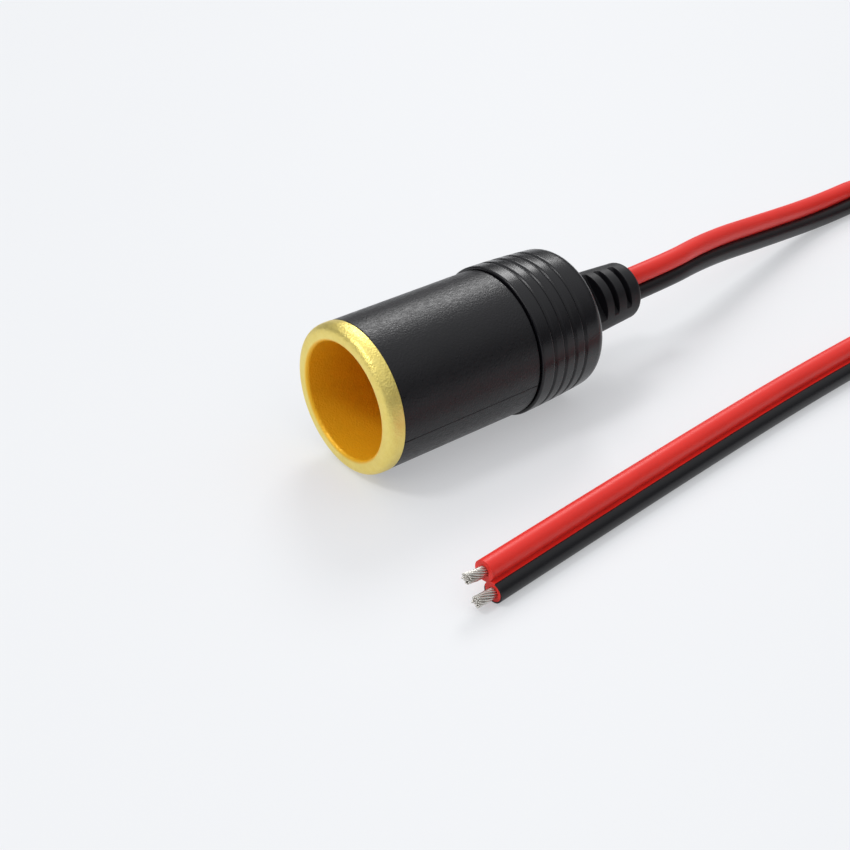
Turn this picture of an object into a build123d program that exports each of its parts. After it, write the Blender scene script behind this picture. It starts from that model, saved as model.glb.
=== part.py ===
from build123d import *

import os
from math import cos, radians, sin, tan

# A female twelve volt accessory socket with a flexible boot and a short stripped twin lead.
# It lies on its side. +Z is up, the floor is at z = 0, the socket's axis runs along Y and the
# mouth faces -Y. The origin is on the floor under the middle of the socket.

os.makedirs("parts", exist_ok=True)

# Fits
fit_clearance = 0.1  # between pieces that slide into or past each other
touch_gap = 0.02  # between a wire and the tag that it lies on

# Contact shell, drawn from one sheet
bore_radius = 10.5
shell_wall = 0.6
shell_depth = 38.0  # mouth to the inside of the floor
shell_corner_radius = 1.2  # inside, between seat and floor
seat_depth = 3.1  # narrower bottom of the shell, which holds the contacts
seat_step = 0.6  # seat inside the bore
seat_slope = 0.8  # axial length of the step
seat_bend = 0.8  # inside radius at both ends of the step
lip_inner_roll = 0.75  # radius at the edge of the bore
lip_outer_roll = 1.1  # radius at the rim
lip_overhang = 0.07  # lip beyond the sleeve
lip_skirt = 1.4  # straight edge behind the rim

# Outer sleeve
sleeve_wall = 2.18
sleeve_overhang = 0.35  # sleeve behind the shell
sleeve_edge_break = 0.25
spigot_wall = 0.9
spigot_length = 7.0
bead_offset = 4.0  # shoulder to the middle of the snap bead
bead_width = 1.2
bead_height = 0.3

# Rear cap
joint_gap = 0.25  # shadow line between sleeve and cap
cap_step = 0.52  # cap's front edge above the sleeve
cap_taper = 0.9
cap_crown = 0.15  # swell of the tapered side
cap_front_chamfer = 0.45
cap_shoulder_fillet = 2.4
cap_wall = 2.3
ring_count = 4
ring_first = 3.0  # cap front to the first ring groove
ring_pitch = 2.5
ring_width = 0.8
ring_depth = 0.3

# Twin lead
lobe_radius = 1.85
lobe_pitch = 3.6
lead_tail = 0.6  # insulation that stands in front of the boot's flange
lead_exit_run = 10.0  # straight on from the boot before the first bend
conductor_radius = 0.92
stripped_length = 4.5
conductor_tip_fillet = 0.25

# Flexible boot
boot_length = 16.8
boot_neck_wall = 1.25  # outside the lead
boot_step = 1.55  # base above the neck
boot_end_wall = 1.75  # outside the lead
boot_end_fillet = 1.2
flange_step = 1.4  # flange above the neck
flange_thickness = 1.3
slot_starts = (4.5, 9.0, 12.4)  # cap to the near side of each slot
slot_widths = (2.5, 1.2, 1.2)
slot_web = 0.63  # between a slot's flat floor and the lead
slot_turn = 45.0  # tilt of the slots about the axis, in degrees

# Contacts at the bottom of the shell
contact_sheet = 0.5
contact_margin = 0.3  # plateau outside the rivet's head
contact_slope = 0.6  # radial width of the dished step
contact_brim = 1.4  # flat rim outside the step
contact_rise = 0.8
inner_insulator_gap = 0.7  # to the negative rivet's head
inner_insulator_thickness = 1.4
outer_insulator_gap = 0.4  # to the negative tag
outer_insulator_thickness = 1.2
insulator_collar_wall = 1.0
rivet_radius = 1.5
rivet_head_step = 0.8
rivet_head_height = 0.8
rivet_clench_step = 0.45
rivet_clench_height = 0.6

# Solder tags
tag_thickness = 0.6
tag_corner_fillet = 1.0
positive_ring_margin = 0.85  # outside the rivet's clenched end
positive_tag_width = 3.6
positive_tag_reach = 8.6  # axis to the end of the tag
negative_rivet_radius = 1.1
negative_head_step = 0.35
negative_head_height = 0.7
negative_tag_width = 3.8
negative_tag_margin = 0.6  # tag below the rivet's head
tail_margin = 0.1  # tag behind the solder

# Wires and solder behind the shell
wire_room = 3.6  # positive tag to the end of the insulation
positive_wire_straight = 0.16  # before the wire bends up
positive_wire_short = 0.6  # wire's end below the end of the tag
negative_wire_bend = 1.0
negative_wire_straight = 0.9  # before the wire slants down
negative_wire_slant = 1.5  # along the axis
negative_wire_gap = 0.7  # between the wire's end and the outer insulator
solder_length = 3.4
solder_width = 3.0
solder_cover = 0.45  # over the wire
solder_fillet = 1.0

# Radii about the axis
seat_radius = bore_radius - seat_step
shell_outer_radius = bore_radius + shell_wall
sleeve_bore_radius = shell_outer_radius + fit_clearance
sleeve_radius = sleeve_bore_radius + sleeve_wall
spigot_radius = sleeve_bore_radius + spigot_wall
lip_radius = sleeve_radius + lip_overhang
roll_centre_radius = bore_radius + lip_inner_roll
rim_centre_radius = lip_radius - lip_outer_roll
cap_front_radius = sleeve_radius + cap_step
cap_rear_radius = cap_front_radius - cap_taper
recess_radius = spigot_radius + fit_clearance
lead_half_height = lobe_pitch / 2 + lobe_radius
boot_neck_radius = lead_half_height + boot_neck_wall
boot_base_radius = boot_neck_radius + boot_step
boot_end_radius = lead_half_height + boot_end_wall
flange_radius = boot_neck_radius + flange_step
cap_hole_radius = boot_neck_radius + fit_clearance
slot_floor = sin(radians(slot_turn)) * lobe_pitch / 2 + lobe_radius + slot_web

# Radii and heights of the contact stack, outwards from the rivet and inwards from the shell
rivet_hole_radius = rivet_radius + fit_clearance
rivet_head_radius = rivet_radius + rivet_head_step
rivet_clench_radius = rivet_radius + rivet_clench_step
insulator_collar_radius = rivet_hole_radius + insulator_collar_wall
floor_hole_radius = insulator_collar_radius + fit_clearance
contact_plateau_radius = rivet_head_radius + contact_margin
contact_brim_radius = contact_plateau_radius + contact_slope
contact_radius = contact_brim_radius + contact_brim
positive_ring_radius = rivet_clench_radius + positive_ring_margin
negative_hole_radius = negative_rivet_radius + fit_clearance
negative_head_radius = negative_rivet_radius + negative_head_step
negative_rivet_drop = seat_radius - shell_corner_radius - fit_clearance - negative_head_radius
negative_base_drop = negative_rivet_drop + negative_head_radius + negative_tag_margin
negative_tail_drop = negative_rivet_drop - negative_head_radius - fit_clearance - tag_thickness
inner_insulator_radius = negative_rivet_drop - negative_head_radius - inner_insulator_gap
outer_insulator_radius = negative_tail_drop - outer_insulator_gap

# Stations along the axis, measured from the mouth
seat_front = shell_depth - seat_depth
shell_rear = shell_depth + shell_wall
sleeve_front = lip_outer_roll + lip_skirt
sleeve_rear = shell_rear + sleeve_overhang
sleeve_shoulder = sleeve_rear - spigot_length
bead_station = sleeve_shoulder + bead_offset
inner_insulator_front = shell_depth - inner_insulator_thickness
contact_front = inner_insulator_front - contact_sheet - contact_rise
outer_insulator_rear = shell_rear + outer_insulator_thickness
positive_tag_rear = outer_insulator_rear + tag_thickness
negative_tag_rear = shell_rear + tag_thickness
lead_start = positive_tag_rear + wire_room
flange_front = lead_start + lead_tail
cap_front = sleeve_shoulder + joint_gap
cap_wall_front = flange_front + flange_thickness
cap_rear = cap_wall_front + cap_wall
cap_length = cap_rear - cap_front
boot_end = cap_rear + boot_length


def cap_side_radius(station):
    """Radius of the cap's swelling side at a station."""
    share = (station - cap_front) / cap_length
    straight = cap_front_radius + share * (cap_rear_radius - cap_front_radius)
    return straight + 4 * cap_crown * share * (1 - share)


# Frame: the socket lies on the front edge of its cap
axis_height = cap_side_radius(cap_front + cap_front_chamfer)
mouth_y = -boot_end / 2
socket_axis = Axis((0, mouth_y, axis_height), (0, 1, 0))
side_plane = Plane(origin=(0, mouth_y, axis_height), x_dir=(0, 1, 0), z_dir=(1, 0, 0))


def cross_plane(station):
    """Plane across the axis at a station, with its y direction up."""
    return Plane(origin=(0, mouth_y + station, axis_height), x_dir=(-1, 0, 0), z_dir=(0, 1, 0))


def lead_outline():
    """Two joined lobes of the lead, one above the other."""
    with Locations((0, lobe_pitch / 2), (0, -lobe_pitch / 2)):
        Circle(lobe_radius)


# Contact shell with its rolled lip
with BuildPart() as contact_shell:
    with BuildSketch(side_plane):
        with BuildLine():
            FilletPolyline(
                (shell_depth, floor_hole_radius),
                (shell_depth, seat_radius),
                (seat_front, seat_radius),
                (seat_front - seat_slope, bore_radius),
                (lip_inner_roll, bore_radius),
                radius=[shell_corner_radius, seat_bend, seat_bend],
            )
            CenterArc((lip_inner_roll, roll_centre_radius), lip_inner_roll, 270, -90)
            Line((0, roll_centre_radius), (0, rim_centre_radius))
            CenterArc((lip_outer_roll, rim_centre_radius), lip_outer_roll, 180, -90)
            Line((lip_outer_roll, lip_radius), (sleeve_front, lip_radius))
            offset(amount=shell_wall, side=Side.RIGHT)
        make_face()
    revolve(axis=socket_axis)
    with BuildSketch(cross_plane(shell_depth)):
        with Locations((0, -negative_rivet_drop)):
            Circle(negative_hole_radius)
    extrude(amount=shell_wall, mode=Mode.SUBTRACT)
contact_shell.part.label = "contact_shell"
export_step(contact_shell.part, "parts/contact_shell.step")

# Outer sleeve with the spigot and snap bead that hold the cap
with BuildPart() as outer_sleeve:
    with BuildSketch(side_plane) as sleeve_profile:
        with BuildLine():
            Polyline(
                (sleeve_front, sleeve_bore_radius),
                (sleeve_front, sleeve_radius),
                (sleeve_shoulder, sleeve_radius),
                (sleeve_shoulder, spigot_radius),
                (bead_station - bead_width / 2, spigot_radius),
                (bead_station, spigot_radius + bead_height),
                (bead_station + bead_width / 2, spigot_radius),
                (sleeve_rear, spigot_radius),
                (sleeve_rear, sleeve_bore_radius),
                close=True,
            )
        make_face()
        chamfer(sleeve_profile.vertices().group_by(Axis.Y)[-1], sleeve_edge_break)
    revolve(axis=socket_axis)
outer_sleeve.part.label = "outer_sleeve"
export_step(outer_sleeve.part, "parts/outer_sleeve.step")

# Rear cap with ring grooves, a swelling taper and a rounded shoulder
bead_groove_half = bead_width / 2 + fit_clearance
with BuildPart() as rear_cap:
    with BuildSketch(side_plane) as cap_profile:
        with BuildLine():
            SagittaArc((cap_front, cap_front_radius), (cap_rear, cap_rear_radius), cap_crown)
            Polyline(
                (cap_rear, cap_rear_radius),
                (cap_rear, cap_hole_radius),
                (cap_wall_front, cap_hole_radius),
                (cap_wall_front, sleeve_bore_radius),
                (sleeve_rear, sleeve_bore_radius),
                (sleeve_rear, recess_radius),
                (bead_station + bead_groove_half, recess_radius),
                (bead_station, recess_radius + bead_height + fit_clearance),
                (bead_station - bead_groove_half, recess_radius),
                (cap_front, recess_radius),
                (cap_front, cap_front_radius),
            )
        make_face()
        shoulder_corner = cap_profile.vertices().sort_by_distance((cap_rear, cap_rear_radius))[0]
        fillet(shoulder_corner, cap_shoulder_fillet)
        front_corner = cap_profile.vertices().sort_by_distance((cap_front, cap_front_radius))[0]
        chamfer(front_corner, cap_front_chamfer)
        for ring in range(ring_count):
            station = cap_front + ring_first + ring * ring_pitch
            radius = cap_side_radius(station)
            with BuildLine():
                Polyline(
                    (station - ring_width, radius + ring_depth),
                    (station, radius - ring_depth),
                    (station + ring_width, radius + ring_depth),
                    close=True,
                )
            make_face(mode=Mode.SUBTRACT)
    revolve(axis=socket_axis)
rear_cap.part.label = "rear_cap"
export_step(rear_cap.part, "parts/rear_cap.step")

# Flexible boot, moulded on the lead and buttoned into the cap's rear wall
slot_direction = Vector(cos(radians(slot_turn)), 0, sin(radians(slot_turn)))
with BuildPart() as strain_relief:
    with BuildSketch(side_plane) as boot_profile:
        with BuildLine():
            Polyline(
                (flange_front, 0),
                (flange_front, flange_radius),
                (cap_wall_front, flange_radius),
                (cap_wall_front, boot_neck_radius),
                (cap_rear, boot_neck_radius),
                (cap_rear, boot_base_radius),
                (boot_end, boot_end_radius),
                (boot_end, 0),
                close=True,
            )
        make_face()
        boot_corner = boot_profile.vertices().sort_by_distance((boot_end, boot_end_radius))[0]
        fillet(boot_corner, boot_end_fillet)
    revolve(axis=socket_axis)
    for side in (1, -1):
        slot_plane = Plane(
            origin=(0, mouth_y + cap_rear, axis_height), x_dir=(0, 1, 0), z_dir=slot_direction * side
        )
        with BuildSketch(slot_plane.offset(slot_floor)):
            for start, width in zip(slot_starts, slot_widths):
                with Locations((start + width / 2, 0)):
                    Rectangle(width, 2 * boot_base_radius)
        extrude(amount=boot_base_radius, mode=Mode.SUBTRACT)
    with BuildSketch(cross_plane(flange_front)):
        lead_outline()
    extrude(amount=boot_end - flange_front, mode=Mode.SUBTRACT)
strain_relief.part.label = "strain_relief"
export_step(strain_relief.part, "parts/strain_relief.step")

# Route of the lead's centre line: out of the boot, down to the floor, round and back
lead_route = [
    (0.0, mouth_y + lead_start, axis_height),
    (0.0, mouth_y + boot_end + lead_exit_run, axis_height),
    (-4.7, 61.0, 12.0),
    (-9.3, 85.0, 7.5),
    (-13.4, 108.0, 3.8),
    (-14.6, 128.5, lead_half_height),
    (-3.6, 144.0, lead_half_height),
    (14.6, 148.8, lead_half_height),
    (31.6, 140.8, lead_half_height),
    (39.8, 123.8, lead_half_height),
    (37.4, 103.4, lead_half_height),
    (31.8, 84.0, lead_half_height),
    (33.1, 51.0, lead_half_height),
    (37.0, 8.0, lead_half_height),
    (41.5, -35.0, lead_half_height),
]

# Each bend is as wide as the shorter of its two runs allows
bend_share = 0.45
route_points = [Vector(*point) for point in lead_route]
runs = [end - start for start, end in zip(route_points, route_points[1:])]
bend_radii = [
    bend_share * min(before.length, after.length) / tan(radians(before.get_angle(after) / 2))
    for before, after in zip(runs, runs[1:])
]
print("lead bend radii", [round(radius, 1) for radius in bend_radii])

# Twin lead, one extrusion
with BuildPart() as twin_cable:
    with BuildLine() as lead_path:
        FilletPolyline(*lead_route, radius=bend_radii)
    with BuildSketch(cross_plane(lead_start)) as lead_section:
        lead_outline()
    sweep(path=lead_path.line)
twin_cable.part.label = "twin_cable"
export_step(twin_cable.part, "parts/twin_cable.step")
lead_length = lead_path.wire().length
lead_volume = lead_section.sketch.area * lead_length
print("lead length", round(lead_length, 1))
print("lead volume", round(twin_cable.part.volume, 1), "section by length", round(lead_volume, 1))

# Stripped ends beyond the far end of the lead, the red core above the black one
end_direction = runs[-1].normalized()
end_side = end_direction.cross(Vector(0, 0, 1))
end_plane = Plane(origin=route_points[-1], x_dir=end_side, z_dir=end_direction)
end_tip = route_points[-1] + end_direction * stripped_length

with BuildPart() as red_conductor_end:
    with BuildSketch(end_plane):
        with Locations((0, lobe_pitch / 2)):
            Circle(conductor_radius)
    extrude(amount=stripped_length)
    red_tip = red_conductor_end.edges().sort_by_distance(end_tip)[0]
    fillet(red_tip, conductor_tip_fillet)
red_conductor_end.part.label = "red_conductor_end"
export_step(red_conductor_end.part, "parts/red_conductor_end.step")

with BuildPart() as black_conductor_end:
    with BuildSketch(end_plane):
        with Locations((0, -lobe_pitch / 2)):
            Circle(conductor_radius)
    extrude(amount=stripped_length)
    black_tip = black_conductor_end.edges().sort_by_distance(end_tip)[0]
    fillet(black_tip, conductor_tip_fillet)
black_conductor_end.part.label = "black_conductor_end"
export_step(black_conductor_end.part, "parts/black_conductor_end.step")

# Disc that keeps the centre contact off the shell's floor
with BuildPart() as inner_insulator:
    with BuildSketch(cross_plane(inner_insulator_front)):
        Circle(inner_insulator_radius)
        Circle(rivet_hole_radius, mode=Mode.SUBTRACT)
    extrude(amount=inner_insulator_thickness)
inner_insulator.part.label = "inner_insulator"
export_step(inner_insulator.part, "parts/inner_insulator.step")

# Dished centre contact
with BuildPart() as centre_contact:
    with BuildSketch(side_plane):
        with BuildLine():
            Polyline(
                (contact_front + contact_sheet, rivet_hole_radius),
                (contact_front + contact_sheet, contact_plateau_radius),
                (inner_insulator_front, contact_brim_radius),
                (inner_insulator_front, contact_radius),
                (inner_insulator_front - contact_sheet, contact_radius),
                (inner_insulator_front - contact_sheet, contact_brim_radius),
                (contact_front, contact_plateau_radius),
                (contact_front, rivet_hole_radius),
                close=True,
            )
        make_face()
    revolve(axis=socket_axis)
centre_contact.part.label = "centre_contact"
export_step(centre_contact.part, "parts/centre_contact.step")

# Disc behind the floor, whose collar keeps the rivet off the shell
with BuildPart() as outer_insulator:
    with BuildSketch(side_plane):
        with BuildLine():
            Polyline(
                (shell_depth, rivet_hole_radius),
                (shell_depth, insulator_collar_radius),
                (shell_rear, insulator_collar_radius),
                (shell_rear, outer_insulator_radius),
                (outer_insulator_rear, outer_insulator_radius),
                (outer_insulator_rear, rivet_hole_radius),
                close=True,
            )
        make_face()
    revolve(axis=socket_axis)
outer_insulator.part.label = "outer_insulator"
export_step(outer_insulator.part, "parts/outer_insulator.step")

# Rivet through the centre contact, both insulators and the positive tag
with BuildPart() as centre_rivet:
    with BuildSketch(side_plane):
        with BuildLine():
            TangentArc(
                (contact_front - rivet_head_height, 0),
                (contact_front, rivet_head_radius),
                tangent=(0, 1),
            )
            Polyline(
                (contact_front - rivet_head_height, 0),
                (positive_tag_rear + rivet_clench_height, 0),
                (positive_tag_rear + rivet_clench_height, rivet_radius),
                (positive_tag_rear, rivet_clench_radius),
                (positive_tag_rear, rivet_radius),
                (contact_front, rivet_radius),
                (contact_front, rivet_head_radius),
            )
        make_face()
    revolve(axis=socket_axis)
centre_rivet.part.label = "centre_rivet"
export_step(centre_rivet.part, "parts/centre_rivet.step")

# Flat tag under the rivet's clenched end
with BuildPart() as positive_tag:
    with BuildSketch(cross_plane(outer_insulator_rear)) as positive_outline:
        with Locations((0, positive_tag_reach / 2)):
            Rectangle(positive_tag_width, positive_tag_reach)
        fillet(positive_outline.vertices().group_by(Axis.Y)[-1], tag_corner_fillet)
        Circle(positive_ring_radius)
        Circle(rivet_hole_radius, mode=Mode.SUBTRACT)
    extrude(amount=tag_thickness)
positive_tag.part.label = "positive_tag"
export_step(positive_tag.part, "parts/positive_tag.step")

# Bent tag that is riveted to the shell's floor
negative_tail_rear = outer_insulator_rear + negative_wire_gap + solder_length + tail_margin
with BuildPart() as negative_tag:
    with BuildSketch(side_plane):
        with BuildLine():
            Polyline(
                (shell_rear, -negative_base_drop),
                (shell_rear, -negative_tail_drop),
                (negative_tail_rear, -negative_tail_drop),
                (negative_tail_rear, -negative_tail_drop - tag_thickness),
                (negative_tag_rear, -negative_tail_drop - tag_thickness),
                (negative_tag_rear, -negative_base_drop),
                close=True,
            )
        make_face()
    extrude(amount=negative_tag_width / 2, both=True)
    fillet(negative_tag.edges().filter_by(Axis.Y).group_by(Axis.Z)[0], tag_corner_fillet)
    with BuildSketch(cross_plane(shell_rear)):
        with Locations((0, -negative_rivet_drop)):
            Circle(negative_hole_radius)
    extrude(amount=tag_thickness, mode=Mode.SUBTRACT)
negative_tag.part.label = "negative_tag"
export_step(negative_tag.part, "parts/negative_tag.step")

# Rivet of the negative tag, with a low head inside the shell
negative_plane = Plane(
    origin=(0, mouth_y, axis_height - negative_rivet_drop), x_dir=(0, 1, 0), z_dir=(1, 0, 0)
)
negative_axis = Axis(negative_plane.origin, (0, 1, 0))
with BuildPart() as negative_rivet:
    with BuildSketch(negative_plane):
        with BuildLine():
            Polyline(
                (shell_depth - negative_head_height, 0),
                (shell_depth - negative_head_height, negative_rivet_radius),
                (shell_depth, negative_head_radius),
                (shell_depth, negative_rivet_radius),
                (negative_tag_rear, negative_rivet_radius),
                (negative_tag_rear, negative_head_radius),
                (negative_tag_rear + negative_head_height, negative_rivet_radius),
                (negative_tag_rear + negative_head_height, 0),
                close=True,
            )
        make_face()
    revolve(axis=negative_axis)
negative_rivet.part.label = "negative_rivet"
export_step(negative_rivet.part, "parts/negative_rivet.step")

# Stripped inner end of the red core, laid up the positive tag
positive_wire_station = positive_tag_rear + conductor_radius + touch_gap
positive_wire_bend = lead_start - positive_wire_straight - positive_wire_station
with BuildPart() as positive_strands:
    with BuildLine(side_plane) as positive_path:
        FilletPolyline(
            (lead_start, lobe_pitch / 2),
            (positive_wire_station, lobe_pitch / 2),
            (positive_wire_station, positive_tag_reach - positive_wire_short),
            radius=positive_wire_bend,
        )
    with BuildSketch(cross_plane(lead_start)):
        with Locations((0, lobe_pitch / 2)):
            Circle(conductor_radius)
    sweep(path=positive_path.line)
positive_strands.part.label = "positive_strands"
export_step(positive_strands.part, "parts/positive_strands.step")

# Stripped inner end of the black core, laid along the negative tag
negative_wire_drop = negative_tail_drop - conductor_radius - touch_gap
negative_slant_start = lead_start - negative_wire_straight
with BuildPart() as negative_strands:
    with BuildLine(side_plane) as negative_path:
        FilletPolyline(
            (lead_start, -lobe_pitch / 2),
            (negative_slant_start, -lobe_pitch / 2),
            (negative_slant_start - negative_wire_slant, -negative_wire_drop),
            (outer_insulator_rear + negative_wire_gap, -negative_wire_drop),
            radius=negative_wire_bend,
        )
    with BuildSketch(cross_plane(lead_start)):
        with Locations((0, -lobe_pitch / 2)):
            Circle(conductor_radius)
    sweep(path=negative_path.line)
negative_strands.part.label = "negative_strands"
export_step(negative_strands.part, "parts/negative_strands.step")

# Solder over the wire on the positive tag
solder_height = 2 * conductor_radius + touch_gap + solder_cover
with BuildPart() as positive_solder:
    with BuildSketch(cross_plane(positive_tag_rear)):
        with Locations((0, positive_tag_reach - solder_length / 2)):
            SlotOverall(solder_length, solder_width, rotation=90)
    extrude(amount=solder_height)
    fillet(positive_solder.faces().sort_by(Axis.Y)[-1].edges(), solder_fillet)
    add(positive_strands.part, mode=Mode.SUBTRACT)
positive_solder.part.label = "positive_solder"
export_step(positive_solder.part, "parts/positive_solder.step")

# Solder over the wire on the negative tag
negative_solder_station = outer_insulator_rear + negative_wire_gap + solder_length / 2
tail_face = Plane(
    origin=(0, mouth_y + negative_solder_station, axis_height - negative_tail_drop),
    x_dir=(0, 1, 0),
    z_dir=(0, 0, 1),
)
with BuildPart() as negative_solder:
    with BuildSketch(tail_face):
        SlotOverall(solder_length, solder_width)
    extrude(amount=solder_height)
    fillet(negative_solder.faces().sort_by(Axis.Z)[-1].edges(), solder_fillet)
    add(negative_strands.part, mode=Mode.SUBTRACT)
negative_solder.part.label = "negative_solder"
export_step(negative_solder.part, "parts/negative_solder.step")
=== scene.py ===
"""Twelve volt accessory socket with a slotted boot and a short twin lead, dressed for rendering."""

import logging
import math
import random
from collections.abc import Callable, Sequence
from dataclasses import dataclass, field
from enum import Enum

import bmesh
import bpy
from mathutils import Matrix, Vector


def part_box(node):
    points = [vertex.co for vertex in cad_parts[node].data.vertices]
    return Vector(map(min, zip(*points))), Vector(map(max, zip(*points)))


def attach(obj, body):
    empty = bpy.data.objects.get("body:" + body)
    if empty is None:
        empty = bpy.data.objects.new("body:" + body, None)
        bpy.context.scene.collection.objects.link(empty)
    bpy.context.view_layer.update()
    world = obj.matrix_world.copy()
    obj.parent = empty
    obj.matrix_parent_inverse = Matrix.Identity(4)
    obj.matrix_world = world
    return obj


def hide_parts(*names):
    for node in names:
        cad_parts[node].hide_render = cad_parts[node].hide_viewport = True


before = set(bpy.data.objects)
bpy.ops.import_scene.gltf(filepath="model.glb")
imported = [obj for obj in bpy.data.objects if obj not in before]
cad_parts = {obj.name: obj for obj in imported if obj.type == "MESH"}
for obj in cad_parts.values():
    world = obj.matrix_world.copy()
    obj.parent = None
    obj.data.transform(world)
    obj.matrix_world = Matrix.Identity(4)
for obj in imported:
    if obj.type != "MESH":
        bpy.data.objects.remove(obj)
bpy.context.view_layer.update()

MM = 0.001
BODY = "root"
ARC_STEP = math.radians(9.0)
SUPPORT_GAP = 0.04
SMOOTH_TURNS = 224
log = logging.getLogger("accessory_socket")

Colour = tuple[float, float, float]
Corner = tuple[float, float, float]
Point = tuple[float, float]
Station = tuple[Vector, Vector, Vector, Vector, float]


class Part(Enum):
    """Materials on the lead and its cut face."""

    RED = 0
    BLACK = 1


# Shared shader effects


class Effects:
    """Shader node groups that several finishes share."""

    def __init__(self) -> None:
        """Build each group once."""
        self.mottle = self._mottle()
        self.grain = self._grain()
        self.scuffs = self._scuffs()
        self.inside = self._inside()

    @staticmethod
    def _group(
        name: str, inputs: Sequence[tuple[str, str, object]], output: tuple[str, str]
    ) -> tuple[bpy.types.NodeTree, bpy.types.Node, bpy.types.Node]:
        """Start a node group with named sockets.

        Args:
            name: name of the group.
            inputs: name, socket type and default of each input.
            output: name and socket type of the only output.

        Returns:
            The tree, its input node and its output node.
        """
        tree = bpy.data.node_groups.new(name, "ShaderNodeTree")
        for label, kind, default in inputs:
            socket = tree.interface.new_socket(name=label, in_out="INPUT", socket_type=kind)
            socket.default_value = default
        tree.interface.new_socket(name=output[0], in_out="OUTPUT", socket_type=output[1])
        return tree, tree.nodes.new("NodeGroupInput"), tree.nodes.new("NodeGroupOutput")

    @staticmethod
    def _spread(
        tree: bpy.types.NodeTree, socket: bpy.types.NodeSocket, low: float, high: float
    ) -> bpy.types.NodeSocket:
        """Stretch a value from low..high to 0..1.

        Args:
            tree: tree that gets the node.
            socket: value to stretch.
            low: value that becomes 0.
            high: value that becomes 1.

        Returns:
            The stretched value.
        """
        node = tree.nodes.new("ShaderNodeMapRange")
        node.inputs["From Min"].default_value = low
        node.inputs["From Max"].default_value = high
        tree.links.new(socket, node.inputs["Value"])
        return node.outputs["Result"]

    def _mottle(self) -> bpy.types.NodeTree:
        """Group that drifts between two colours in soft patches.

        Returns:
            The node group.
        """
        tree, start, end = self._group(
            "soft_mottle",
            [
                ("Base", "NodeSocketColor", (0.5, 0.5, 0.5, 1.0)),
                ("Second", "NodeSocketColor", (0.4, 0.4, 0.4, 1.0)),
                ("Scale", "NodeSocketFloat", 200.0),
                ("Amount", "NodeSocketFloat", 0.5),
            ],
            ("Color", "NodeSocketColor"),
        )
        place = tree.nodes.new("ShaderNodeTexCoord")
        noise = tree.nodes.new("ShaderNodeTexNoise")
        noise.inputs["Detail"].default_value = 5.0
        tree.links.new(place.outputs["Object"], noise.inputs["Vector"])
        tree.links.new(start.outputs["Scale"], noise.inputs["Scale"])
        patch = self._spread(tree, noise.outputs["Fac"], 0.3, 0.7)
        share = tree.nodes.new("ShaderNodeMath")
        share.operation = "MULTIPLY"
        tree.links.new(patch, share.inputs[0])
        tree.links.new(start.outputs["Amount"], share.inputs[1])
        mix = tree.nodes.new("ShaderNodeMix")
        mix.data_type = "RGBA"
        tree.links.new(share.outputs[0], mix.inputs["Factor"])
        tree.links.new(start.outputs["Base"], mix.inputs["A"])
        tree.links.new(start.outputs["Second"], mix.inputs["B"])
        tree.links.new(mix.outputs["Result"], end.inputs["Color"])
        return tree

    def _grain(self) -> bpy.types.NodeTree:
        """Group that gives the height of a fine pitted grain.

        Returns:
            The node group.
        """
        tree, start, end = self._group(
            "pitted_grain",
            [("Scale", "NodeSocketFloat", 3000.0), ("Pits", "NodeSocketFloat", 0.5)],
            ("Height", "NodeSocketFloat"),
        )
        place = tree.nodes.new("ShaderNodeTexCoord")
        noise = tree.nodes.new("ShaderNodeTexNoise")
        noise.inputs["Detail"].default_value = 3.0
        noise.inputs["Roughness"].default_value = 0.6
        cells = tree.nodes.new("ShaderNodeTexVoronoi")
        for node in (noise, cells):
            tree.links.new(place.outputs["Object"], node.inputs["Vector"])
            tree.links.new(start.outputs["Scale"], node.inputs["Scale"])
        mix = tree.nodes.new("ShaderNodeMix")
        tree.links.new(start.outputs["Pits"], mix.inputs["Factor"])
        tree.links.new(noise.outputs["Fac"], mix.inputs["A"])
        tree.links.new(cells.outputs["Distance"], mix.inputs["B"])
        tree.links.new(mix.outputs["Result"], end.inputs["Height"])
        return tree

    def _scuffs(self) -> bpy.types.NodeTree:
        """Group that varies roughness in smears along the part.

        Returns:
            The node group.
        """
        tree, start, end = self._group(
            "handling_smears",
            [
                ("Roughness", "NodeSocketFloat", 0.4),
                ("Spread", "NodeSocketFloat", 0.1),
                ("Scale", "NodeSocketFloat", 150.0),
            ],
            ("Roughness", "NodeSocketFloat"),
        )
        place = tree.nodes.new("ShaderNodeTexCoord")
        stretch = tree.nodes.new("ShaderNodeMapping")
        stretch.inputs["Scale"].default_value = (1.0, 0.35, 1.0)
        noise = tree.nodes.new("ShaderNodeTexNoise")
        noise.inputs["Detail"].default_value = 6.0
        noise.inputs["Roughness"].default_value = 0.65
        tree.links.new(place.outputs["Object"], stretch.inputs["Vector"])
        tree.links.new(stretch.outputs["Vector"], noise.inputs["Vector"])
        tree.links.new(start.outputs["Scale"], noise.inputs["Scale"])
        smear = self._spread(tree, noise.outputs["Fac"], 0.25, 0.75)
        centred = tree.nodes.new("ShaderNodeMath")
        centred.operation = "SUBTRACT"
        centred.inputs[1].default_value = 0.5
        tree.links.new(smear, centred.inputs[0])
        total = tree.nodes.new("ShaderNodeMath")
        total.operation = "MULTIPLY_ADD"
        tree.links.new(centred.outputs[0], total.inputs[0])
        tree.links.new(start.outputs["Spread"], total.inputs[1])
        tree.links.new(start.outputs["Roughness"], total.inputs[2])
        tree.links.new(total.outputs[0], end.inputs["Roughness"])
        return tree

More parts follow.
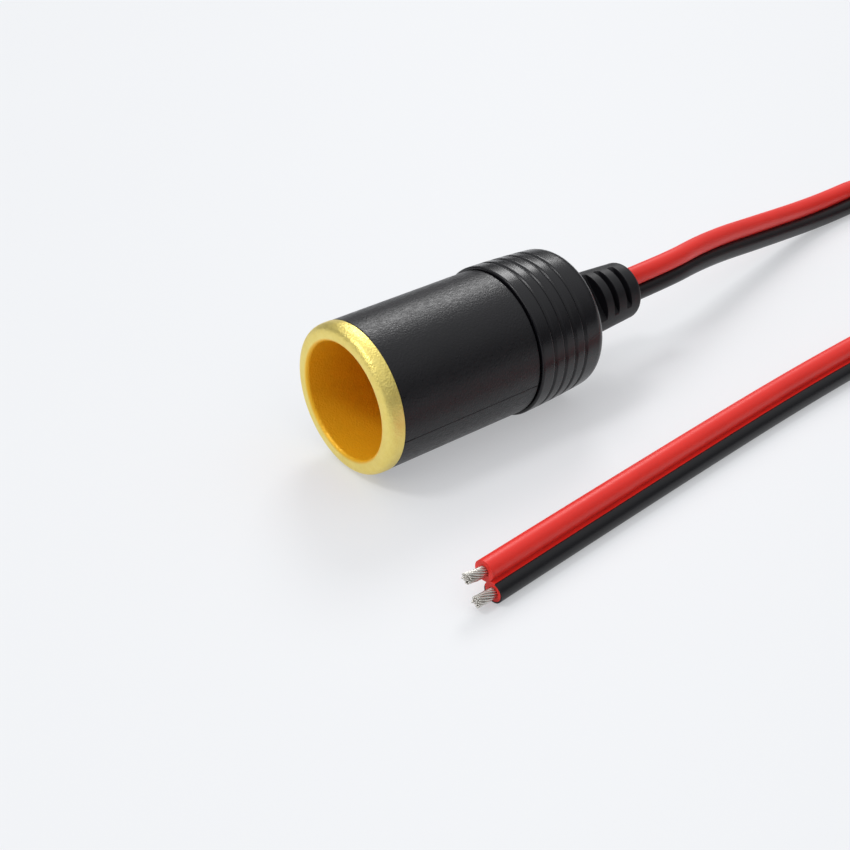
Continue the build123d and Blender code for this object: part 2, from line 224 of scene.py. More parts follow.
    def _inside(self) -> bpy.types.NodeTree:
        """Group that gives 1 inside a radius about a level axis along Y, and 0 outside a larger one.

        Returns:
            The node group.
        """
        tree, start, end = self._group(
            "inside_bore",
            [
                ("Height", "NodeSocketFloat", 0.0),
                ("Inner", "NodeSocketFloat", 0.01),
                ("Outer", "NodeSocketFloat", 0.011),
            ],
            ("Mask", "NodeSocketFloat"),
        )
        place = tree.nodes.new("ShaderNodeTexCoord")
        split = tree.nodes.new("ShaderNodeSeparateXYZ")
        tree.links.new(place.outputs["Object"], split.inputs["Vector"])
        above = tree.nodes.new("ShaderNodeMath")
        above.operation = "SUBTRACT"
        tree.links.new(split.outputs["Z"], above.inputs[0])
        tree.links.new(start.outputs["Height"], above.inputs[1])
        flat = tree.nodes.new("ShaderNodeCombineXYZ")
        tree.links.new(split.outputs["X"], flat.inputs["X"])
        tree.links.new(above.outputs[0], flat.inputs["Z"])
        reach = tree.nodes.new("ShaderNodeVectorMath")
        reach.operation = "LENGTH"
        tree.links.new(flat.outputs["Vector"], reach.inputs[0])
        span = tree.nodes.new("ShaderNodeMapRange")
        span.interpolation_type = "SMOOTHSTEP"
        span.inputs["To Min"].default_value = 1.0
        span.inputs["To Max"].default_value = 0.0
        tree.links.new(reach.outputs["Value"], span.inputs["Value"])
        tree.links.new(start.outputs["Inner"], span.inputs["From Min"])
        tree.links.new(start.outputs["Outer"], span.inputs["From Max"])
        tree.links.new(span.outputs["Result"], end.inputs["Mask"])
        return tree


# Finishes


@dataclass(frozen=True)
class Finish:
    """A surface finish: colours, gloss, drift and grain."""

    name: str
    base: Colour
    second: Colour
    roughness: float
    metallic: float = 0.0
    specular: float = 0.5
    patch_scale: float = 180.0
    patch_amount: float = 0.6
    smear: float = 0.1
    smear_scale: float = 150.0
    grain_scale: float = 3000.0
    grain_pits: float = 0.4
    grain_height: float = 0.00002
    grain_strength: float = 0.5

    def group(
        self, tree: bpy.types.NodeTree, effect: bpy.types.NodeTree, **values: object
    ) -> bpy.types.Node:
        """Place a shared effect in the material.

        Args:
            tree: the material's tree.
            effect: the node group.
            values: value of each named input.

        Returns:
            The placed group node.
        """
        node = tree.nodes.new("ShaderNodeGroup")
        node.node_tree = effect
        for label, value in values.items():
            node.inputs[label].default_value = value
        return node

    def colour(self, tree: bpy.types.NodeTree, effects: Effects) -> bpy.types.NodeSocket:
        """Give the colour over the surface.

        Args:
            tree: the material's tree.
            effects: the shared groups.

        Returns:
            The colour's socket.
        """
        node = self.group(
            tree,
            effects.mottle,
            Base=(*self.base, 1.0),
            Second=(*self.second, 1.0),
            Scale=self.patch_scale,
            Amount=self.patch_amount,
        )
        return node.outputs["Color"]

    def build(self, effects: Effects) -> bpy.types.Material:
        """Make the material.

        Args:
            effects: the shared groups.

        Returns:
            The material.
        """
        material = bpy.data.materials.new(self.name)
        material.use_nodes = True
        tree = material.node_tree
        shader = tree.nodes["Principled BSDF"]
        shader.inputs["Metallic"].default_value = self.metallic
        shader.inputs["Specular IOR Level"].default_value = self.specular
        tree.links.new(self.colour(tree, effects), shader.inputs["Base Color"])
        smears = self.group(
            tree, effects.scuffs, Roughness=self.roughness, Spread=self.smear, Scale=self.smear_scale
        )
        tree.links.new(smears.outputs["Roughness"], shader.inputs["Roughness"])
        grain = self.group(tree, effects.grain, Scale=self.grain_scale, Pits=self.grain_pits)
        bump = tree.nodes.new("ShaderNodeBump")
        bump.inputs["Strength"].default_value = self.grain_strength
        bump.inputs["Distance"].default_value = self.grain_height
        tree.links.new(grain.outputs["Height"], bump.inputs["Height"])
        tree.links.new(bump.outputs["Normal"], shader.inputs["Normal"])
        return material


@dataclass(frozen=True)
class BoreShadeFinish(Finish):
    """A metal finish with painted shade inside the bore, where its colour is a darker orange and less
    metallic.
    """

    # deep is the painted shade colour inside the bore, darker and more orange than the lip.
    deep: Colour = (0.7, 0.4, 0.05)
    shade_metallic: float = 0.4
    axis_height: float = 0.0
    shade_inner: float = 0.01
    shade_outer: float = 0.011

    def build(self, effects: Effects) -> bpy.types.Material:
        """Make the material, with painted shade inside the bore: a darker, duller orange metal.

        Args:
            effects: the shared groups.

        Returns:
            The material.
        """
        material = super().build(effects)
        tree = material.node_tree
        shader = tree.nodes["Principled BSDF"]
        front = shader.inputs["Base Color"].links[0].from_socket
        inside = self.group(
            tree, effects.inside, Height=self.axis_height, Inner=self.shade_inner, Outer=self.shade_outer
        )
        mix = tree.nodes.new("ShaderNodeMix")
        mix.data_type = "RGBA"
        # Painted shade: the bore takes the darker orange colour.
        mix.inputs["B"].default_value = (*self.deep, 1.0)
        tree.links.new(inside.outputs["Mask"], mix.inputs["Factor"])
        tree.links.new(front, mix.inputs["A"])
        tree.links.new(mix.outputs["Result"], shader.inputs["Base Color"])
        metal = tree.nodes.new("ShaderNodeMapRange")
        metal.inputs["To Min"].default_value = self.metallic
        metal.inputs["To Max"].default_value = self.shade_metallic
        tree.links.new(inside.outputs["Mask"], metal.inputs["Value"])
        tree.links.new(metal.outputs["Result"], shader.inputs["Metallic"])
        return material


@dataclass(frozen=True)
class TableFinish(Finish):
    """A pale table that keeps its colour before the lens and in reflections."""

    glow: float = 0.55

    def build(self, effects: Effects) -> bpy.types.Material:
        """Make the material, with a share of even colour in what is seen of it.

        Args:
            effects: the shared groups.

        Returns:
            The material.
        """
        material = super().build(effects)
        tree = material.node_tree
        rays = tree.nodes.new("ShaderNodeLightPath")
        share = rays.outputs["Is Camera Ray"]
        for label in ("Is Glossy Ray", "Is Transmission Ray"):
            either = tree.nodes.new("ShaderNodeMath")
            either.operation = "MAXIMUM"
            tree.links.new(share, either.inputs[0])
            tree.links.new(rays.outputs[label], either.inputs[1])
            share = either.outputs[0]
        part = tree.nodes.new("ShaderNodeMath")
        part.operation = "MULTIPLY"
        part.inputs[1].default_value = self.glow
        tree.links.new(share, part.inputs[0])
        even = tree.nodes.new("ShaderNodeEmission")
        even.inputs["Color"].default_value = (*self.base, 1.0)
        mix = tree.nodes.new("ShaderNodeMixShader")
        tree.links.new(part.outputs[0], mix.inputs[0])
        tree.links.new(tree.nodes["Principled BSDF"].outputs[0], mix.inputs[1])
        tree.links.new(even.outputs[0], mix.inputs[2])
        tree.links.new(mix.outputs[0], tree.nodes["Material Output"].inputs["Surface"])
        return material


# Mesh helpers


@dataclass(frozen=True)
class TurningAxis:
    """Axis along +Y that turned pieces are made about, in millimetres."""

    mouth: float
    height: float
    side: float = 0.0

    def point(self, station: float, radius: float, turn: float) -> Vector:
        """Place a point about the axis.

        Args:
            station: distance behind the mouth.
            radius: distance from the axis.
            turn: angle from +X towards +Z, in radians.

        Returns:
            The point, in metres.
        """
        across = self.side + radius * math.cos(turn)
        up = self.height + radius * math.sin(turn)
        return Vector((across, self.mouth + station, up)) * MM

    def lowered(self, drop: float) -> "TurningAxis":
        """Give a parallel axis below this one.

        Args:
            drop: distance between the axes.

        Returns:
            The lower axis.
        """
        return TurningAxis(self.mouth, self.height - drop, self.side)


def even_turns(count: int) -> list[float]:
    """Give evenly spaced angles of a whole turn.

    Args:
        count: number of angles.

    Returns:
        The angles, in radians.
    """
    return [2.0 * math.pi * step / count for step in range(count)]


def rounded_profile(corners: Sequence[Corner], closed: bool = True) -> list[Point]:
    """Round the corners of a turned profile, with support points beside each arc.

    Args:
        corners: station, radius and rounding of each corner.
        closed: whether the last corner joins the first.

    Returns:
        The profile's points.
    """
    count = len(corners)
    places = [Vector(corner[:2]) for corner in corners]
    ways = [(places[(index + 1) % count] - place) for index, place in enumerate(places)]
    halves = [(-ways[index - 1]).angle(ways[index]) / 2.0 for index in range(count)]
    reaches = [corner[2] / math.tan(half) for corner, half in zip(corners, halves)]
    if not closed:
        reaches[0] = reaches[-1] = 0.0
    spare = [way.length - reaches[index] - reaches[(index + 1) % count] for index, way in enumerate(ways)]
    points: list[Point] = []
    for index, here in enumerate(places):
        reach, rounding = reaches[index], corners[index][2]
        if reach <= 0.0:
            points.append(tuple(here))
            continue
        back, ahead = -ways[index - 1].normalized(), ways[index].normalized()
        centre = here + (back + ahead).normalized() * rounding / math.sin(halves[index])
        first, last = here + back * reach - centre, here + ahead * reach - centre
        sweep = first.angle_signed(last)
        steps = max(4, math.ceil(abs(sweep) / ARC_STEP))
        if spare[index - 1] > 3.0 * SUPPORT_GAP:
            points.append(tuple(here + back * (reach + SUPPORT_GAP)))
        for step in range(steps + 1):
            cos, sin = math.cos(-sweep * step / steps), math.sin(-sweep * step / steps)
            station = centre.x + first.x * cos - first.y * sin
            radius = centre.y + first.x * sin + first.y * cos
            points.append((station, radius))
        if spare[index] > 3.0 * SUPPORT_GAP:
            points.append(tuple(here + ahead * (reach + SUPPORT_GAP)))
    return points


def mesh_piece(name: str, points: Sequence[Vector], faces: Sequence[Sequence[int]]) -> bpy.types.Object:
    """Make a smooth mesh object and ride it on the part.

    Args:
        name: name of the piece.
        points: its vertices, in metres.
        faces: vertex indices of each face.

    Returns:
        The object.
    """
    mesh = bpy.data.meshes.new(name)
    mesh.from_pydata([tuple(point) for point in points], [], faces)
    work = bmesh.new()
    work.from_mesh(mesh)
    bmesh.ops.remove_doubles(work, verts=work.verts, dist=1e-7)
    bmesh.ops.recalc_face_normals(work, faces=work.faces)
    work.to_mesh(mesh)
    work.free()
    mesh.polygons.foreach_set("use_smooth", [True] * len(mesh.polygons))
    piece = bpy.data.objects.new(name, mesh)
    bpy.context.scene.collection.objects.link(piece)
    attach(piece, BODY)
    return piece


def turned_piece(
    name: str,
    axis: TurningAxis,
    profile: Sequence[Point],
    turns: Sequence[float],
    closed: bool = True,
    shape: Callable[[float, float, float], float] | None = None,
) -> bpy.types.Object:
    """Turn a profile about an axis.

    Args:
        name: name of the piece.
        axis: axis to turn about.
        profile: station and radius of each point.
        turns: angles of the columns, in radians.
        closed: whether the profile is a closed loop.
        shape: gives the radius from station, radius and angle.

    Returns:
        The object.
    """
    rows = len(profile)
    points: list[Vector] = []
    for turn in turns:
        for station, radius in profile:
            own = shape(station, radius, turn) if shape else radius
            points.append(axis.point(station, own, turn))
    faces: list[tuple[int, ...]] = []
    columns = len(turns)
    for column in range(columns):
        here, there = column * rows, (column + 1) % columns * rows
        for row in range(rows if closed else rows - 1):
            after = (row + 1) % rows
            faces.append((here + row, there + row, there + after, here + after))
    return mesh_piece(name, points, faces)


def dress(piece: bpy.types.Object, slot: str, *materials: bpy.types.Material) -> None:
    """Give a piece its materials.

    Args:
        piece: the piece.
        slot: not used.
        materials: materials in slot order.
    """
    piece.data.materials.clear()
    for material in materials:
        piece.data.materials.append(material)


# The twin lead


@dataclass
class TwinLead:
    """Red and black twin lead that lies in a loop, with stripped ends."""

    lobe_radius: float = 1.85
    lobe_pitch: float = 3.6
    skin: float = 0.07
    skin_edges: tuple[Point, ...] = ((0.0, 73.0), (120.0, 73.0), (230.0, 47.0), (352.0, 47.0))
    skin_ramp: float = 1.5
    lobe_steps: int = 40
    waist_steps: int = 4
    floor_band: float = 4.0
    conductor: float = 0.92
    cut_steps: int = 56
    cut_rings: tuple[float, ...] = (0.0, 0.05, 0.3, 0.42, 0.55, 1.0)
    cut_swell: float = 0.05
    skin_seam: float = 0.42
    seam_depth: float = 0.04
    strand_rings: tuple[int, ...] = (1, 6, 12)
    strand_lay: float = 14.0
    strand_start: float = 0.4
    strand_tuck: float = 1.2
    strand_shortfall: float = 0.35
    strand_stray: tuple[float, float] = (-0.05, 0.07)
    strand_flare: float = 0.06
    strand_swell: float = 1.04
    strand_tip: float = 0.55
    strand_steps: int = 26
    strand_sides: int = 10
    stripped: float = 3.8
    exit_y: float = 32.5
    route: tuple[tuple[float, float, float], ...] = (
        (0.0, 11.5, 13.891),
        (0.0, 42.5, 13.891),
        (-4.7, 61.0, 12.0),
        (-9.3, 85.0, 7.5),
        (-13.4, 108.0, 3.8),
        (-14.6, 128.5, 3.65),
        (-3.6, 144.0, 3.65),
        (14.6, 148.8, 3.65),
        (31.6, 140.8, 3.65),
        (39.8, 123.8, 3.65),
        (37.4, 103.4, 3.65),
        (31.8, 84.0, 3.65),
        (33.1, 51.0, 3.65),
        (37.0, 8.0, 3.65),
        (41.62, -36.2, 3.65),
    )
    leans: tuple[Point, ...] = (
        (0.0, 0.0),
        (30.0, 0.0),
        (80.0, 16.0),
        (120.0, 30.0),
        (165.0, 4.0),
        (215.0, -32.0),
        (260.0, -37.0),
        (352.0, -34.0),
    )
    path: list[Vector] = field(default_factory=list)

    def follow_route(self) -> None:
        """Read the smooth line from a spline over the route's points."""
        curve = bpy.data.curves.new("lead_route", "CURVE")
        curve.dimensions = "3D"
        spline = curve.splines.new("NURBS")
        spline.points.add(len(self.route) - 1)
        for point, place in zip(spline.points, self.route):
            point.co = (*(Vector(place) * MM), 1.0)
        spline.order_u = 3
        spline.use_endpoint_u = True
        spline.resolution_u = 24
        carrier = bpy.data.objects.new("lead_route", curve)
        bpy.context.scene.collection.objects.link(carrier)
        bpy.context.view_layer.update()
        line = bpy.data.meshes.new_from_object(carrier)
        self.path = [vertex.co.copy() for vertex in line.vertices]
        bpy.data.objects.remove(carrier)
        bpy.data.meshes.remove(line)
        bpy.data.curves.remove(curve)

    @staticmethod
    def between(keys: Sequence[Point], distance: float) -> float:
        """Ease between key values along the lead.

        Args:
            keys: distance along the lead and value of each key.
            distance: where the value is wanted, in millimetres.

        Returns:
            The eased value.
        """
        for (start, low), (stop, high) in zip(keys, keys[1:]):
            if distance <= stop:
                share = max(0.0, (distance - start) / (stop - start))
                return low + (high - low) * share * share * (3.0 - 2.0 * share)
        return keys[-1][1]

    def stations(self) -> list[Station]:
        """Give the section's centre, heading, left, up and skin edge along the lead.

        Returns:
            One entry for each point of the path, in metres.
        """
        found: list[Station] = []
        distance = 0.0
        for index, place in enumerate(self.path):
            if index:
                distance += (place - self.path[index - 1]).length / MM
            before = self.path[max(index - 1, 0)]
            after = self.path[min(index + 1, len(self.path) - 1)]
            heading = (after - before).normalized()
            up = Vector((0.0, 0.0, 1.0))
            up = (up - heading * up.dot(heading)).normalized()
            left = up.cross(heading)
            angle = math.radians(self.between(self.leans, distance))
            leaned = up * math.cos(angle) + left * math.sin(angle)
            aside = left * math.cos(angle) - up * math.sin(angle)
            on_floor = min(1.0, max(0.0, 2.0 - place.z / MM / self.floor_band))
            drop = self.lobe_pitch / 2.0 * (1.0 - math.cos(angle)) * on_floor
            centre = place - Vector((0.0, 0.0, drop * MM))
            found.append((centre, heading, aside, leaned, self.between(self.skin_edges, distance)))
        return found

    def section(self, edge: float) -> list[tuple[float, float, Part]]:
        """Give the outline of the two lobes.

        Args:
            edge: angle on the lower lobe at which the black skin ends, in degrees.

        Returns:
            Offsets left and up, and the material of the face that follows each point.
        """
        half = self.lobe_pitch / 2.0
        waist = math.degrees(math.asin(half / self.lobe_radius))
        ramp, count = self.skin_ramp, self.waist_steps
        outline: list[tuple[float, float, Part]] = []
        for step in range(self.lobe_steps):
            angle = math.radians(-waist + (180.0 + 2.0 * waist) * step / self.lobe_steps)
            across, up = self.lobe_radius * math.cos(angle), half + self.lobe_radius * math.sin(angle)
            outline.append((across, up, Part.RED))
        marks = [180.0 - waist + (waist - edge) * step / count for step in range(count)]
        outline += [(*self._lower(mark, 0.0), Part.RED) for mark in marks]
        outline.append((*self._lower(180.0 - edge, 0.0), Part.BLACK))
        outline.append((*self._lower(180.0 - edge + ramp, self.skin), Part.BLACK))
        span = 180.0 + 2.0 * edge - 2.0 * ramp
        for step in range(1, self.lobe_steps):
            mark = 180.0 - edge + ramp + span * step / self.lobe_steps
            outline.append((*self._lower(mark, self.skin), Part.BLACK))
        outline.append((*self._lower(360.0 + edge - ramp, self.skin), Part.BLACK))
        outline.append((*self._lower(360.0 + edge, 0.0), Part.RED))
        marks = [360.0 + edge + (waist - edge) * step / count for step in range(1, count)]
        outline += [(*self._lower(mark, 0.0), Part.RED) for mark in marks]
        return outline

    def _lower(self, mark: float, extra: float) -> Point:
        """Give a point on the lower lobe.

        Args:
            mark: angle about the lobe's centre, in degrees.
            extra: distance outside the lobe.

        Returns:
            Offsets left and up.
        """
        radius = self.lobe_radius + extra - self.skin
        angle = math.radians(mark)
        return radius * math.cos(angle), radius * math.sin(angle) - self.lobe_pitch / 2.0

    def build(self, red: bpy.types.Material, black: bpy.types.Material, tinned: bpy.types.Material) -> None:
        """Make the lead, its cut face and its stripped ends.

        Args:
            red: insulation.
            black: skin of the lower lobe.
            tinned: strands of the stripped ends.
        """
        self.follow_route()
        stations = self.stations()
        points: list[Vector] = []
        for centre, _, left, up, edge in stations:
            outline = self.section(edge)
            points += [centre + (left * across + up * high) * MM for across, high, _ in outline]
        section_parts = [part for _, _, part in self.section(stations[0][4])]
        count = len(section_parts)
        faces: list[tuple[int, ...]] = []
        parts: list[Part] = []
        for ring in range(len(stations) - 1):
            for step in range(count):
                after = (step + 1) % count
                here, there = ring * count, (ring + 1) * count
                faces.append((here + step, here + after, there + after, there + step))
                parts.append(section_parts[step])
        self._cap(points, faces, parts, stations[0], False)
        self._cap(points, faces, parts, stations[-1], True)
        lead = mesh_piece("twin_lead", points, faces)
        dress(lead, "lead_vinyl", red, black)
        lead.data.polygons.foreach_set("material_index", [part.value for part in parts])
        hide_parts("twin_cable")
        ends = [
            self._strands("red_core_end", stations[-1], 1.0, 0.5, tinned),
            self._strands("black_core_end", stations[-1], -1.0, 0.1, tinned),
        ]
        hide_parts("red_conductor_end")
        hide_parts("black_conductor_end")

    def _cap(
        self,
        points: list[Vector],
        faces: list[tuple[int, ...]],
        parts: list[Part],
        station: Station,
        far: bool,
    ) -> None:
        """Close one end of the lead with a cut face for each lobe.

        Args:
            points: vertices so far, which grow.
            faces: faces so far, which grow.
            parts: material of each face, which grows.
            station: centre, heading, left, up and skin edge of the end.
            far: whether this is the end that is seen.
        """
        centre, heading, left, up, edge = station
        sign = 1.0 if far else -1.0
        steps = self.cut_steps
        half = self.lobe_pitch / 2.0
        for lobe in (1.0, -1.0):
            first = len(points)
            for share in self.cut_rings:
                for step in range(steps):
                    angle = 2.0 * math.pi * step / steps
                    inward = -lobe * math.sin(angle)
                    rim = min(self.lobe_radius, half / inward) if inward > 1e-6 else self.lobe_radius
                    radius = rim + (self.conductor - rim) * share
                    proud = self.cut_swell * math.sin(math.pi * share) if far else 0.0
                    dip = self.seam_depth if share == self.skin_seam and lobe < 0.0 else 0.0
                    across, high = radius * math.cos(angle), lobe * half + radius * math.sin(angle)
                    ahead = heading * sign * (proud - dip)
                    points.append(centre + (left * across + up * high + ahead) * MM)
            for ring in range(len(self.cut_rings) - 1):
                for step in range(steps):
                    after = (step + 1) % steps
                    here, there = first + ring * steps, first + (ring + 1) * steps
                    faces.append((here + step, here + after, there + after, there + step))
                    facing = math.sin(2.0 * math.pi * (step + 0.5) / steps)
                    skin = lobe < 0.0 and ring < 2 and facing < math.sin(math.radians(edge))
                    parts.append(Part.BLACK if skin else Part.RED)

    def _strands(
        self, name: str, station: Station, lobe: float, splay: float, tinned: bpy.types.Material
    ) -> bpy.types.Object:
        """Make one stripped end as a twisted bundle of strands.

        Args:
            name: name of the piece.
            station: centre, heading, left, up and skin edge of the lead's end.
            lobe: 1 for the upper core, -1 for the lower one.
            splay: how far the tip stands up.
            tinned: material of the strands.

        Returns:
            The object.
        """
        centre, heading, left, up, _ = station
        centre = centre + up * (lobe * self.lobe_pitch / 2.0 * MM)
        radius = self.conductor / (2.0 * len(self.strand_rings) - 1.0)
        dice = random.Random(7 if lobe > 0.0 else 11)
        points: list[Vector] = []
        faces: list[tuple[int, ...]] = []
        rings, sides = self.strand_steps, self.strand_sides
        for layer, number in enumerate(self.strand_rings):
            for strand in range(number):
                short = dice.uniform(0.0, self.strand_shortfall)
                loose = dice.uniform(*self.strand_stray) if layer else 0.0
                start = 2.0 * math.pi * strand / number + self.strand_start * layer
                reach = self.stripped + self.strand_tuck - short
                first = len(points)
                for ring in range(rings):
                    along = reach * ring / (rings - 1) - self.strand_tuck
                    share = max(0.0, along / self.stripped)
                    turn = start + 2.0 * math.pi * along / self.strand_lay
                    spread = 2.0 * radius * layer * (1.0 + self.strand_flare * share) + loose * share
                    bend = splay * share * share
                    own = radius * (self.strand_swell if ring < rings - 1 else self.strand_tip)
                    aside = left * math.cos(turn) + up * math.sin(turn)
                    middle = centre + (heading * along + aside * spread + up * bend) * MM
                    for side in range(sides):
                        angle = 2.0 * math.pi * side / sides
                        offset = left * math.cos(angle) + up * math.sin(angle)
                        points.append(middle + offset * (own * MM))
                for ring in range(rings - 1):
                    for side in range(sides):
                        after = (side + 1) % sides
                        here, there = first + ring * sides, first + (ring + 1) * sides
                        faces.append((here + side, here + after, there + after, there + side))
                faces.append(tuple(first + side for side in range(sides)))
                faces.append(tuple(first + (rings - 1) * sides + side for side in range(sides)))
        piece = mesh_piece(name, points, faces)
        dress(piece, "tinned_strands", tinned)
        log.info("%s: %d strands", name, sum(self.strand_rings))
        return piece

    def offset_at(self, y: float) -> Point:
        """Give how far the lead's centre is from the boot's axis.

        Args:
            y: place along the axis, in millimetres.

        Returns:
            Offsets along X and Z, in millimetres.
        """
        near = min(self.path, key=lambda place: abs(place.y / MM - y))
        return near.x / MM, near.z / MM - self.route[0][2]


# The socket


@dataclass
class ContactShell:
    """Drawn brass shell with a rolled lip."""

    axis: TurningAxis
    bore: float = 10.5
    wall: float = 0.6
    depth: float = 38.0
    seat: float = 9.9
    seat_front: float = 34.9
    lip: float = 13.45
    lip_front: float = -0.45
    inner_roll: float = 0.75
    roll_steps: int = 18
    crown_fullness: float = 3.4
    crown_steps: int = 24
    skirt: float = 0.3
    skirt_end: float = 2.47
    seat_slope: float = 0.8
    seat_offset: float = 0.2
    roll_lead: float = 0.1
    floor_hole: float = 2.7

    def crown(self) -> list[Corner]:
        """Give the soft crown from the lip's front to its skirt.

        Returns:
            Corners along the crown, without rounding.
        """
        across = self.lip - self.bore - self.inner_roll
        along = self.skirt_end - self.skirt - self.lip_front
        power = 2.0 / self.crown_fullness
        found: list[Corner] = []
        for step in range(self.crown_steps + 1):
            angle = math.radians(90.0 * step / self.crown_steps)
            back = along * (1.0 - math.cos(angle) ** power)
            out = across * math.sin(angle) ** power
            found.append((self.lip_front + back, self.lip - across + out, 0.0))
        return found

    def build(self, brass: bpy.types.Material) -> None:
        """Make the shell.

        Args:
            brass: material of the lip and bore.
        """
        wall, front = self.wall, self.lip_front
        seat_back = self.seat_front + self.seat_offset
        roll: list[Corner] = []
        for step in range(self.roll_steps):
            turn = math.radians(90.0 * step / self.roll_steps)
            back = self.inner_roll * (1.0 - math.sin(turn))
            roll.append((front + back, self.bore + self.inner_roll * (1.0 - math.cos(turn)), 0.0))
        corners = [
            (self.depth, self.floor_hole, 0.05),
            (self.depth, self.seat, 1.2),
            (self.seat_front, self.seat, 0.8),
            (self.seat_front - self.seat_slope, self.bore, 0.8),
            (front + self.inner_roll + self.roll_lead, self.bore, 0.0),
            *roll,
            *self.crown(),
            (self.skirt_end, self.lip, 0.08),
            (self.skirt_end, self.lip - wall, 0.08),
            (front + wall, self.lip - wall, 0.5),
            (front + wall, self.bore + wall, 0.13),
            (seat_back - self.seat_slope, self.bore + wall, 0.8),
            (seat_back, self.seat + wall, 0.3),
            (self.depth + wall, self.seat + wall, 1.8),
            (self.depth + wall, self.floor_hole, 0.05),
        ]
        piece = turned_piece("contact_cup", self.axis, rounded_profile(corners), even_turns(SMOOTH_TURNS))
        dress(piece, "lip_brass", brass)
        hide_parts("contact_shell")
        log.info("contact shell: %d faces", len(piece.data.polygons))


@dataclass
class OuterSleeve:
    """Grained black sleeve with its mould's parting lines."""

    axis: TurningAxis
    front: float = 2.5
    shoulder: float = 31.95
    rear: float = 38.95
    radius: float = 13.38
    bore: float = 11.2
    spigot: float = 12.1
    parting_turn: float = -11.5
    parting_width: float = 0.11
    parting_depth: float = 0.07
    parting_steps: int = 4
    nick_row: float = 3.6
    nick_end: float = 4.6
    nick_fade: float = 0.25
    nick_deepening: float = 3.2
    side_rows: tuple[float, ...] = (12.0, 22.0)
    bead_back: float = 4.0
    bead_half: float = 0.6
    bead_height: float = 0.3

    def parting(self, station: float, radius: float, turn: float) -> float:
        """Sink the two parting lines into the outside.

        Args:
            station: distance behind the mouth.
            radius: plain radius.
            turn: angle about the axis, in radians.

        Returns:
            The radius with the line cut in.
        """
        if radius < self.radius - 0.3:
            return radius
        aside = (math.degrees(turn) - self.parting_turn + 90.0) % 180.0 - 90.0
        reach = abs(math.radians(aside)) * radius / self.parting_width
        if reach >= 1.0:
            return radius
        deep = self.parting_depth * (self.nick_deepening if station < self.nick_end else 1.0)
        return radius - deep * 0.5 * (1.0 + math.cos(math.pi * reach))

    def build(self, plastic: bpy.types.Material) -> None:
        """Make the sleeve.

        Args:
            plastic: material of the sleeve.
        """
        bead = self.shoulder + self.bead_back
        rows = (self.nick_row, self.nick_end, self.nick_end + self.nick_fade, *self.side_rows)
        corners = [
            (self.front, self.bore, 0.1),
            (self.front, self.radius, 0.3),
            *((row, self.radius, 0.0) for row in rows),
            (self.shoulder, self.radius, 0.3),
            (self.shoulder, self.spigot, 0.08),
            (bead - self.bead_half, self.spigot, 0.08),
            (bead, self.spigot + self.bead_height, 0.15),
            (bead + self.bead_half, self.spigot, 0.08),
            (self.rear, self.spigot, 0.12),
            (self.rear, self.bore, 0.1),
        ]
        turns = even_turns(SMOOTH_TURNS)
        steps = self.parting_steps
        for base in (self.parting_turn, self.parting_turn + 180.0):
            for step in range(-steps - 1, steps + 2):
                aside = math.degrees(self.parting_width / self.radius) * step / steps
                turns.append(math.radians((base + aside) % 360.0))
        profile = rounded_profile(corners)
        piece = turned_piece("grained_sleeve", self.axis, profile, sorted(set(turns)), shape=self.parting)
        dress(piece, "sleeve_plastic", plastic)
        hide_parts("outer_sleeve")
        log.info("outer sleeve: %d faces", len(piece.data.polygons))


@dataclass
class RearCap:
    """Tapered cap with ring grooves and a round shoulder."""

    axis: TurningAxis
    front: float = 32.2
    length: float = 16.0
    front_radius: float = 13.9
    rear_radius: float = 13.0
    crown: float = 0.15
    recess: float = 12.2
    cavity: float = 11.2
    recess_end: float = 38.95
    wall_front: float = 45.9
    hole: float = 5.0
    ring_count: int = 4
    ring_start: float = 3.0
    ring_pitch: float = 2.5
    ring_half: float = 0.4
    ring_depth: float = 0.3
    shoulder_row: float = 3.8
    shoulder_rounding: float = 2.4
    groove_back: float = 3.0
    groove_half: float = 0.7
    groove_depth: float = 0.4

    def side(self, station: float) -> float:
        """Give the radius of the swelling side.

        Args:
            station: distance behind the mouth.

        Returns:
            The radius.
        """
        share = (station - self.front) / self.length
        straight = self.front_radius + share * (self.rear_radius - self.front_radius)
        return straight + 4.0 * self.crown * share * (1.0 - share)

    def build(self, plastic: bpy.types.Material) -> None:
        """Make the cap.

        Args:
            plastic: material of the cap.
        """
        rear = self.front + self.length
        row = rear - self.shoulder_row
        groove = self.recess_end - self.groove_back
        corners = [(self.front, self.recess, 0.1), (self.front, self.front_radius, 0.4)]
        for ring in range(self.ring_count):
            station = self.front + (self.ring_start + self.ring_pitch * ring)
            middle = station - self.ring_pitch / 2.0
            corners += [
                (middle, self.side(middle), 0.0),
                (station - self.ring_half, self.side(station - self.ring_half), 0.45),
                (station, self.side(station) - self.ring_depth, 0.12),
                (station + self.ring_half, self.side(station + self.ring_half), 0.45),
            ]
        corners += [
            (row, self.side(row), 0.0),
            (rear, self.rear_radius, self.shoulder_rounding),
            (rear, self.hole, 0.1),
            (self.wall_front, self.hole, 0.1),
            (self.wall_front, self.cavity, 0.4),
            (self.recess_end, self.cavity, 0.1),
            (self.recess_end, self.recess, 0.1),
            (groove + self.groove_half, self.recess, 0.08),
            (groove, self.recess + self.groove_depth, 0.15),
            (groove - self.groove_half, self.recess, 0.08),
        ]
        piece = turned_piece("ringed_cap", self.axis, rounded_profile(corners), even_turns(SMOOTH_TURNS))
        dress(piece, "cap_plastic", plastic)
        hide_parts("rear_cap")
        log.info("rear cap: %d faces", len(piece.data.polygons))


